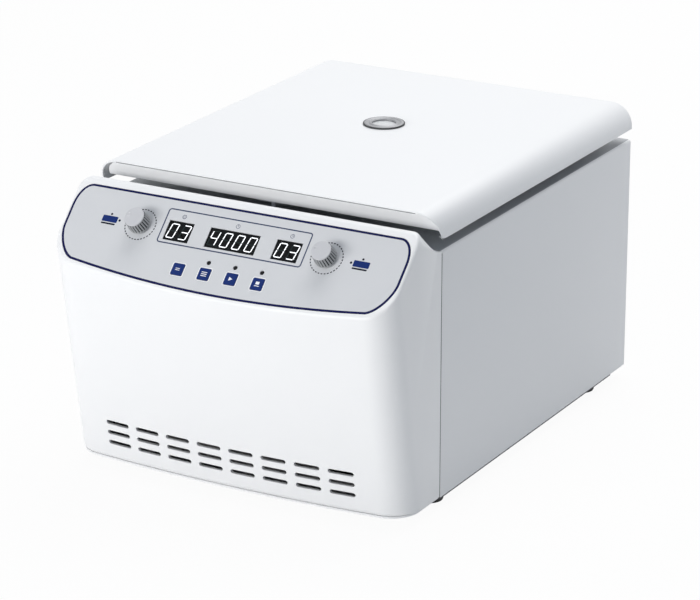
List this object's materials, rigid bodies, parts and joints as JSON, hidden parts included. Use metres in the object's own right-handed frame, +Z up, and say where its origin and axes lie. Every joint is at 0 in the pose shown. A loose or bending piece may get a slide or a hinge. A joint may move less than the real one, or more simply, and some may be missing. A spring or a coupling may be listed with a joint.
{
  "type": "benchtop centrifuge",
  "caption": "Low-speed benchtop centrifuge: boxy cabinet with slanted control panel, flat hinged lid with a sight window, angle rotor in a round chamber.",
  "frame": {"origin": "on the table under the middle of the whole machine", "axes": "+X to the right seen from the front, +Y to the back, +Z up; the front faces -Y"},
  "size_m": [0.353, 0.4986, 0.2818],
  "materials": {
    "white_paint": "smooth semi-gloss powder coat",
    "white_plastic": "smooth moulded, semi-gloss",
    "panel_grey": "printed film, matt",
    "display_black": "smooth dark window",
    "key_navy": "smooth, matt",
    "lamp_dark": "dark round lamp",
    "knob_grey": "ribbed, satin",
    "cap_grey": "flat, satin",
    "board_green": "circuit board",
    "steel": "bright zinc plate",
    "dark_steel": "dark coat",
    "stainless": "fine brushed",
    "chrome": "polished",
    "aluminium": "turned, satin",
    "clear": "clear",
    "rubber": "matt black",
    "grey_rubber": "matt grey",
    "black_plastic": "moulded, satin"
  },
  "bodies": {
    "cabinet": {"front_bezel": "white_plastic", "cabinet_shell": "white_paint", "rear_panel": "white_paint", "base_plate": "dark_steel", "guard_ring": "dark_steel", "chassis_plate": "dark_steel", "motor": "dark_steel", "foot_front_left": "rubber", "foot_front_right": "rubber", "foot_rear_left": "rubber", "foot_rear_right": "rubber", "motor_damper_1": "rubber", "motor_damper_2": "rubber", "motor_damper_3": "rubber", "shaft_boot": "rubber", "panel_overlay": "panel_grey", "control_board": "board_green", "driver_board": "board_green", "display_left": "display_black", "display_middle": "display_black", "display_right": "display_black", "led_1": "lamp_dark", "led_2": "lamp_dark", "led_3": "lamp_dark", "encoder_body_left": "steel", "encoder_body_right": "steel", "hinge_deck_leaf_left": "steel", "hinge_deck_leaf_right": "steel", "hinge_pin_left": "steel", "hinge_pin_right": "steel", "chamber_bowl": "stainless", "lock_body": "black_plastic", "power_inlet": "black_plastic", "switch_housing": "black_plastic", "fuse_holder": "black_plastic", "fan_frame": "black_plastic", "chamber_gasket": "grey_rubber"},
    "lid": {"lid_shell": "white_paint", "lid_liner": "white_plastic", "sight_ring": "chrome", "sight_lens": "clear", "striker": "steel", "hinge_lid_leaf_left": "steel", "hinge_lid_leaf_right": "steel"},
    "rotor_set": {"rotor": "aluminium", "rotor_nut": "black_plastic", "drive_shaft": "steel"},
    "fan_rotor": {"fan_impeller": "black_plastic"},
    "bolt": {"lock_bolt": "steel"},
    "power_rocker": {"switch_rocker": "black_plastic"},
    "push_left": {"encoder_plunger_left": "black_plastic"},
    "dial_left": {"knob_left": "knob_grey", "knob_cap_left": "cap_grey"},
    "push_right": {"encoder_plunger_right": "black_plastic"},
    "dial_right": {"knob_right": "knob_grey", "knob_cap_right": "cap_grey"},
    "press_1": {"key_1": "key_navy"},
    "press_2": {"key_2": "key_navy"},
    "press_3": {"key_3": "key_navy"},
    "press_4": {"key_4": "key_navy"}
  },
  "joints": [
    {"name": "lid_hinge", "type": "hinge", "parent": "cabinet", "child": "lid", "pos_m": [0, 0.23261, 0.2561], "axis": [-1, 0, 0], "range_deg": [0, 80]},
    {"name": "rotor_spin", "type": "hinge", "parent": "cabinet", "child": "rotor_set", "pos_m": [0, 0.06702, 0.14], "axis": [0, 0, 1], "continuous": true},
    {"name": "fan_spin", "type": "hinge", "parent": "cabinet", "child": "fan_rotor", "pos_m": [-0.09, 0.22901, 0.068], "axis": [0, 1, 0], "continuous": true},
    {"name": "lock_bolt_slide", "type": "slide", "parent": "cabinet", "child": "bolt", "axis": [0, -1, 0], "range_m": [0, 0.008], "stiffness_N_per_m": 300},
    {"name": "power_rocker_tilt", "type": "hinge", "parent": "cabinet", "child": "power_rocker", "pos_m": [0.072, 0.24482, 0.068], "axis": [-1, 0, 0], "range_deg": [0, 20]},
    {"name": "knob_push_left", "type": "slide", "parent": "cabinet", "child": "push_left", "axis": [0, 0.7071, -0.7071], "range_m": [0, 0.0005], "stiffness_N_per_m": 4000},
    {"name": "knob_turn_left", "type": "hinge", "parent": "push_left", "child": "dial_left", "pos_m": [-0.0956, -0.20834, 0.24293], "axis": [0, -0.7071, 0.7071], "continuous": true},
    {"name": "knob_push_right", "type": "slide", "parent": "cabinet", "child": "push_right", "axis": [0, 0.7071, -0.7071], "range_m": [0, 0.0005], "stiffness_N_per_m": 4000},
    {"name": "knob_turn_right", "type": "hinge", "parent": "push_right", "child": "dial_right", "pos_m": [0.0956, -0.20834, 0.24293], "axis": [0, -0.7071, 0.7071], "continuous": true},
    {"name": "key_press_1", "type": "slide", "parent": "cabinet", "child": "press_1", "axis": [0, 0.7071, -0.7071], "range_m": [0, 0.0004], "stiffness_N_per_m": 2500},
    {"name": "key_press_2", "type": "slide", "parent": "cabinet", "child": "press_2", "axis": [0, 0.7071, -0.7071], "range_m": [0, 0.0004], "stiffness_N_per_m": 2500},
    {"name": "key_press_3", "type": "slide", "parent": "cabinet", "child": "press_3", "axis": [0, 0.7071, -0.7071], "range_m": [0, 0.0004], "stiffness_N_per_m": 2500},
    {"name": "key_press_4", "type": "slide", "parent": "cabinet", "child": "press_4", "axis": [0, 0.7071, -0.7071], "range_m": [0, 0.0004], "stiffness_N_per_m": 2500}
  ]
}
